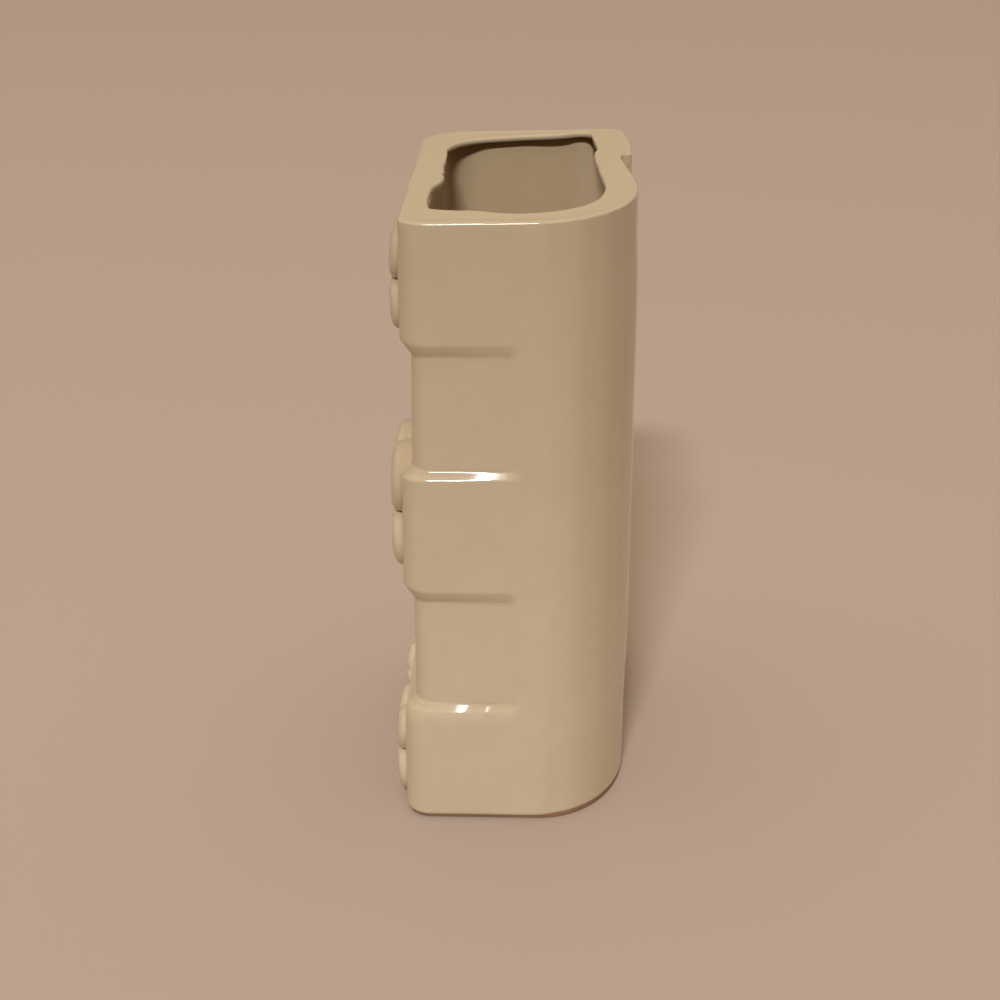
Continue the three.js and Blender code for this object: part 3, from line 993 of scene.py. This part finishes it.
# IVORY_SHADED_AT_HEAD is painted shade, mixed in more and more towards the head.
IVORY_SHADED_AT_HEAD = "#B1A085"
IVORY_POOLED_AND_SHADED = "#A88759"
IVORY_THIN_AND_LIT = "#D2C0A4"
CLOUD_SIZE = 45 * MM
HEAD_SHADE_SHARE = 0.85
COVER_START = 0.6 * INSIDE_POOL_AND_SHADE
POOL_AND_SHADE_SHARE = 0.65
THIN_AND_LIT_SHARE = 0.5


def fired_body(tree, place, mottle, pool):
    """The ivory with its clouds, darkened towards the head by painted shade, except where the pooled tone
    is strong.
    """
    cloud = node(tree, "ShaderNodeTexNoise", {"Vector": place, "Scale": 1 / CLOUD_SIZE, "Detail": 2.0})
    blend = node(tree, "ShaderNodeMath", {0: cloud.outputs["Fac"], 1: mottle}, operation="ADD")
    spread = node(
        tree, "ShaderNodeMapRange", {"Value": blend.outputs[0], "From Min": 0.75, "From Max": 1.25}
    )
    body = node(
        tree, "ShaderNodeMix",
        {0: spread.outputs["Result"], 6: colour(IVORY), 7: colour(IVORY_WARM)}, data_type="RGBA",
    )
    # Painted shade: the ivory darkens with height.
    height = node(tree, "ShaderNodeSeparateXYZ", {0: place})
    rise = node(
        tree, "ShaderNodeMapRange",
        {"Value": height.outputs["Z"], "From Max": TOP_Z, "To Max": HEAD_SHADE_SHARE},
    )
    cover = node(
        tree, "ShaderNodeMapRange",
        {"Value": pool, "From Min": COVER_START, "From Max": INSIDE_POOL_AND_SHADE, "To Min": 1.0, "To Max": 0.0},
    )
    head_shade = node(
        tree, "ShaderNodeMath", {0: rise.outputs["Result"], 1: cover.outputs["Result"]},
        operation="MULTIPLY",
    )
    head_shaded = node(
        tree, "ShaderNodeMix",
        {0: head_shade.outputs[0], 6: body.outputs[2], 7: colour(IVORY_SHADED_AT_HEAD)}, data_type="RGBA",
    )
    return head_shaded.outputs[2]


def pooled_thinned_and_painted(tree, body, pool, thin):
    """The body's tone, changed where the glass lies thick and where it ran thin, and by the painted shade
    and painted light that these values also carry.
    """
    pool_and_shade_share = node(tree, "ShaderNodeMath", {0: pool, 1: POOL_AND_SHADE_SHARE}, operation="MULTIPLY")
    thin_and_lit_share = node(tree, "ShaderNodeMath", {0: thin, 1: THIN_AND_LIT_SHARE}, operation="MULTIPLY")
    pooled_and_shaded = node(
        tree, "ShaderNodeMix",
        {0: pool_and_shade_share.outputs[0], 6: body, 7: colour(IVORY_POOLED_AND_SHADED)}, data_type="RGBA",
    )
    thinned_and_lit = node(
        tree, "ShaderNodeMix",
        {0: thin_and_lit_share.outputs[0], 6: pooled_and_shaded.outputs[2], 7: colour(IVORY_THIN_AND_LIT)}, data_type="RGBA",
    )
    return thinned_and_lit.outputs[2]


# %% [markdown]
# Real glaze also holds rare dark specks of iron. They are a few tenths of a millimetre wide, one or
# two pixels here, so they are drawn at that size and no finer. The glass sags in slow swells and has
# a fine peel. A bump gives both well, because they are far too shallow to show in the outline.

# %% Specks and surface
IRON_SPECK = "#6E5238"
SPECK_SPACING = 13 * MM
SPECK_RADIUS = 0.39 * MM
SPECK_CHANCE = 0.55
SPECK_SHARE = 0.55
SAG_SIZE = 17 * MM
SWELL_DEPTH = 0.08 * MM
PEEL_SIZE = 2.4 * MM
PEEL_DEPTH = 0.006 * MM


def iron_specked(tree, place, tone):
    """The tone with rare specks of iron."""
    cells = node(tree, "ShaderNodeTexVoronoi", {"Vector": place, "Scale": 1 / SPECK_SPACING})
    chance = node(tree, "ShaderNodeSeparateColor", {0: cells.outputs["Color"]})
    size = node(
        tree, "ShaderNodeMapRange",
        {"Value": chance.outputs[0], "From Min": SPECK_CHANCE, "To Max": SPECK_RADIUS / SPECK_SPACING},
    )
    speck = node(
        tree, "ShaderNodeMath", {0: cells.outputs["Distance"], 1: size.outputs["Result"]},
        operation="LESS_THAN",
    )
    share = node(tree, "ShaderNodeMath", {0: speck.outputs[0], 1: SPECK_SHARE}, operation="MULTIPLY")
    specked = node(
        tree, "ShaderNodeMix", {0: share.outputs[0], 6: tone, 7: colour(IRON_SPECK)}, data_type="RGBA"
    )
    return specked.outputs[2]


def flowing_surface(tree, place):
    """The normal of glass that sags and has a fine peel."""
    sag = node(tree, "ShaderNodeTexNoise", {"Vector": place, "Scale": 1 / SAG_SIZE, "Detail": 2.0})
    swell = node(
        tree, "ShaderNodeBump", {"Height": sag.outputs["Fac"], "Distance": SWELL_DEPTH, "Strength": 1.0}
    )
    peel = node(tree, "ShaderNodeTexNoise", {"Vector": place, "Scale": 1 / PEEL_SIZE, "Detail": 1.0})
    surface = node(
        tree, "ShaderNodeBump",
        {
            "Height": peel.outputs["Fac"], "Distance": PEEL_DEPTH, "Strength": 1.0,
            "Normal": swell.outputs["Normal"],
        },
    )
    return surface.outputs["Normal"]


# %% Ivory glaze
MOTTLE_SIZE = 6 * MM
GLOSS = (0.07, 0.12)
GLASS_IOR = 1.52


def ivory_glaze():
    """Glossy ivory glaze on cream earthenware: sharp reflections that waver."""
    material, tree = new_material("ivory_lead_glaze_on_earthenware")
    place = node(tree, "ShaderNodeTexCoord").outputs["Object"]
    pool = node(tree, "ShaderNodeAttribute", attribute_name="glaze_pool_and_shade").outputs["Fac"]
    thin = node(tree, "ShaderNodeAttribute", attribute_name="glaze_thin_and_lit").outputs["Fac"]
    mottle = node(
        tree, "ShaderNodeTexNoise", {"Vector": place, "Scale": 1 / MOTTLE_SIZE, "Detail": 2.0}
    ).outputs["Fac"]
    body = fired_body(tree, place, mottle, pool)
    glass = pooled_thinned_and_painted(tree, body, pool, thin)
    gloss = node(
        tree, "ShaderNodeMapRange",
        {"Value": mottle, "From Min": 0.3, "From Max": 0.7, "To Min": GLOSS[0], "To Max": GLOSS[1]},
    )
    shader = node(
        tree, "ShaderNodeBsdfPrincipled",
        {
            "Base Color": iron_specked(tree, place, glass), "Roughness": gloss.outputs["Result"],
            "IOR": GLASS_IOR, "Normal": flowing_surface(tree, place),
        },
    )
    node(tree, "ShaderNodeOutputMaterial", {"Surface": shader.outputs["BSDF"]})
    return material


# %% [markdown]
# The foot is the same earthenware without its glass: wiped with a sponge, so it is matt, gritty and
# toned by handling. Grit of about 0.8 mm gives it a dry tooth.

# %% Bare clay
CLAY = "#A8835F"
CLAY_DARK = "#7C5B40"
GRIT_SIZE = 0.8 * MM
GRIT_DEPTH = 0.15 * MM
STAIN_SIZE = 14 * MM
CLAY_ROUGHNESS = 0.86
CLAY_IOR = 1.5


def bare_clay():
    """Unglazed buff earthenware, sponged and dusty."""
    material, tree = new_material("bare_buff_earthenware")
    place = node(tree, "ShaderNodeTexCoord").outputs["Object"]
    grit = node(tree, "ShaderNodeTexNoise", {"Vector": place, "Scale": 1 / GRIT_SIZE, "Detail": 3.0})
    stain = node(tree, "ShaderNodeTexNoise", {"Vector": place, "Scale": 1 / STAIN_SIZE, "Detail": 3.0})
    tone = node(
        tree, "ShaderNodeMix",
        {0: stain.outputs["Fac"], 6: colour(CLAY), 7: colour(CLAY_DARK)}, data_type="RGBA",
    )
    tooth = node(
        tree, "ShaderNodeBump", {"Height": grit.outputs["Fac"], "Distance": GRIT_DEPTH, "Strength": 0.8}
    )
    shader = node(
        tree, "ShaderNodeBsdfPrincipled",
        {
            "Base Color": tone.outputs[2], "Roughness": CLAY_ROUGHNESS, "IOR": CLAY_IOR,
            "Normal": tooth.outputs["Normal"],
        },
    )
    node(tree, "ShaderNodeOutputMaterial", {"Surface": shader.outputs["BSDF"]})
    return material


# %% [markdown]
# Each dressed piece stands for one solid of the frame, rides on the planter's one body and names the
# finish it takes.

# %% Dress the frame
glaze = ivory_glaze()
clay = bare_clay()
dressed = {
    "front_wall": front_wall, "rear_wall": rear_wall, "floor_slab": floor_slab, "rim_shelf": rim_shelf,
    "band_bottom": band_bottom, "band_middle": band_middle, "band_top": band_top, "foot_ring": foot_ring,
    **sprigs,
}
for solid, piece in dressed.items():
    bare = solid == "foot_ring"
    piece.data.materials.append(clay if bare else glaze)
    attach(piece, "root")
    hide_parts(solid)
print("dressed:", len(dressed), "pieces, in", glaze.name, "and", clay.name)

# %% [markdown]
# The studio is plain: a pale floor, one main lamp, a weak second lamp off the front, and a soft
# surround. The main lamp stands well back behind the camera, a little towards the front. It models
# the shoulder and the ledges, and it is small enough to draw the fine bright lines along the ledges
# that tell the eye this is glass.

# %% Studio floor
FLOOR_SIZE = 40.0
PAPER = "#B4A296"
PAPER_ROUGHNESS = 0.9
half = FLOOR_SIZE / 2
floor_corners = [(-half, -half, 0), (half, -half, 0), (half, half, 0), (-half, half, 0)]
floor_mesh = bpy.data.meshes.new("studio_floor")
floor_mesh.from_pydata(floor_corners, [], [(0, 1, 2, 3)])
studio_floor = bpy.data.objects.new("studio_floor", floor_mesh)
bpy.context.scene.collection.objects.link(studio_floor)
paper, paper_tree = new_material("pale_matt_paper")
paper_shader = node(
    paper_tree, "ShaderNodeBsdfPrincipled", {"Base Color": colour(PAPER), "Roughness": PAPER_ROUGHNESS}
)
node(paper_tree, "ShaderNodeOutputMaterial", {"Surface": paper_shader.outputs["BSDF"]})
floor_mesh.materials.append(paper)
studio_floor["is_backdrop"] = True
print("studio floor:", FLOOR_SIZE, "m square")

# %% Lamps
AIM = (0, 0, 0.1)


def soft_lamp(name, azimuth, elevation, distance, size, watts):
    """An area lamp that looks at the planter. Azimuth is in degrees from +X towards +Y."""
    turn, rise = math.radians(azimuth), math.radians(elevation)
    data = bpy.data.lights.new(name, "AREA")
    data.shape = "RECTANGLE"
    data.size, data.size_y = size
    data.energy = watts
    lamp = bpy.data.objects.new(name, data)
    level, up = distance * math.cos(rise), distance * math.sin(rise)
    lamp.location = (AIM[0] + level * math.cos(turn), AIM[1] + level * math.sin(turn), AIM[2] + up)
    lamp.rotation_euler = Euler((math.pi / 2 - rise, 0, turn + math.pi / 2))
    lamp.visible_camera = False
    bpy.context.scene.collection.objects.link(lamp)


soft_lamp("key_lamp", azimuth=-6.5, elevation=40, distance=7.0, size=(1.0, 0.4), watts=330)
soft_lamp("front_lamp", azimuth=-80, elevation=40, distance=1.7, size=(0.8, 0.8), watts=0.9)
print("lamps:", [light.name for light in bpy.data.lights])

# %% [markdown]
# The surround lights the planter from overhead, as a white ceiling does, and low down from behind, as
# a pale wall does. The wall keeps the front and the back from going dark, and it doesn't reach the
# near side. Mirrored in the glaze, the surround shows one even strength.

# %% Surround
# CEILING_START and WALL_TOP are heights of a direction: 0 is level and 1 is straight up.
BASE_STRENGTH = 0.06
CEILING_STRENGTH = 1.45
CEILING_START = 0.6
WALL_STRENGTH = 3.0
WALL_TOP = (0.3, 0.45)
SEEN_STRENGTH = 0.45
WARM_TINT = "#EACFA4"
PALE_TINT = "#F5E3C8"
world = bpy.data.worlds.new("ceiling_lit_surround")
world.use_nodes = True
sky = world.node_tree
sky.nodes.clear()
direction = node(sky, "ShaderNodeTexCoord").outputs["Generated"]
split = node(sky, "ShaderNodeSeparateXYZ", {0: direction}).outputs
ceiling = node(
    sky, "ShaderNodeMapRange",
    {"Value": split["Z"], "From Min": CEILING_START, "To Min": BASE_STRENGTH, "To Max": CEILING_STRENGTH},
)
behind_share = node(sky, "ShaderNodeMapRange", {"Value": split["X"], "From Max": -1.0})
wall = node(
    sky, "ShaderNodeMapRange",
    {
        "Value": split["Z"], "From Min": WALL_TOP[0], "From Max": WALL_TOP[1],
        "To Min": WALL_STRENGTH, "To Max": 0.0,
    },
)
lit = node(
    sky, "ShaderNodeMath",
    {0: behind_share.outputs["Result"], 1: wall.outputs["Result"], 2: ceiling.outputs["Result"]},
    operation="MULTIPLY_ADD",
)
paths = node(sky, "ShaderNodeLightPath").outputs
mirrored = node(
    sky, "ShaderNodeMath", {0: paths["Is Glossy Ray"], 1: paths["Is Transmission Ray"]},
    operation="MAXIMUM",
)
seen = node(
    sky, "ShaderNodeMath", {0: paths["Is Camera Ray"], 1: mirrored.outputs[0]}, operation="MAXIMUM"
)
shown = node(sky, "ShaderNodeMix", {0: seen.outputs[0], 2: lit.outputs[0], 3: SEEN_STRENGTH})
unseen = node(
    sky, "ShaderNodeMath", {0: behind_share.outputs["Result"], 1: seen.outputs[0]}, operation="SUBTRACT"
)
paler = node(sky, "ShaderNodeMath", {0: split["Z"], 1: unseen.outputs[0]}, operation="MAXIMUM")
tint = node(
    sky, "ShaderNodeMix",
    {0: paler.outputs[0], 6: colour(WARM_TINT), 7: colour(PALE_TINT)}, data_type="RGBA",
)
surround = node(
    sky, "ShaderNodeBackground", {"Color": tint.outputs[2], "Strength": shown.outputs[0]}
)
node(sky, "ShaderNodeOutputWorld", {"Surface": surround.outputs["Background"]})
bpy.context.scene.world = world
bpy.context.scene.view_settings.view_transform = "Standard"
print("surround:", len(sky.nodes), "nodes")

# %% [markdown]
# Last, the dressed planter's box is printed.

low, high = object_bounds()
print("dressed box, mm:", [round(v / MM, 1) for v in low], [round(v / MM, 1) for v in high])
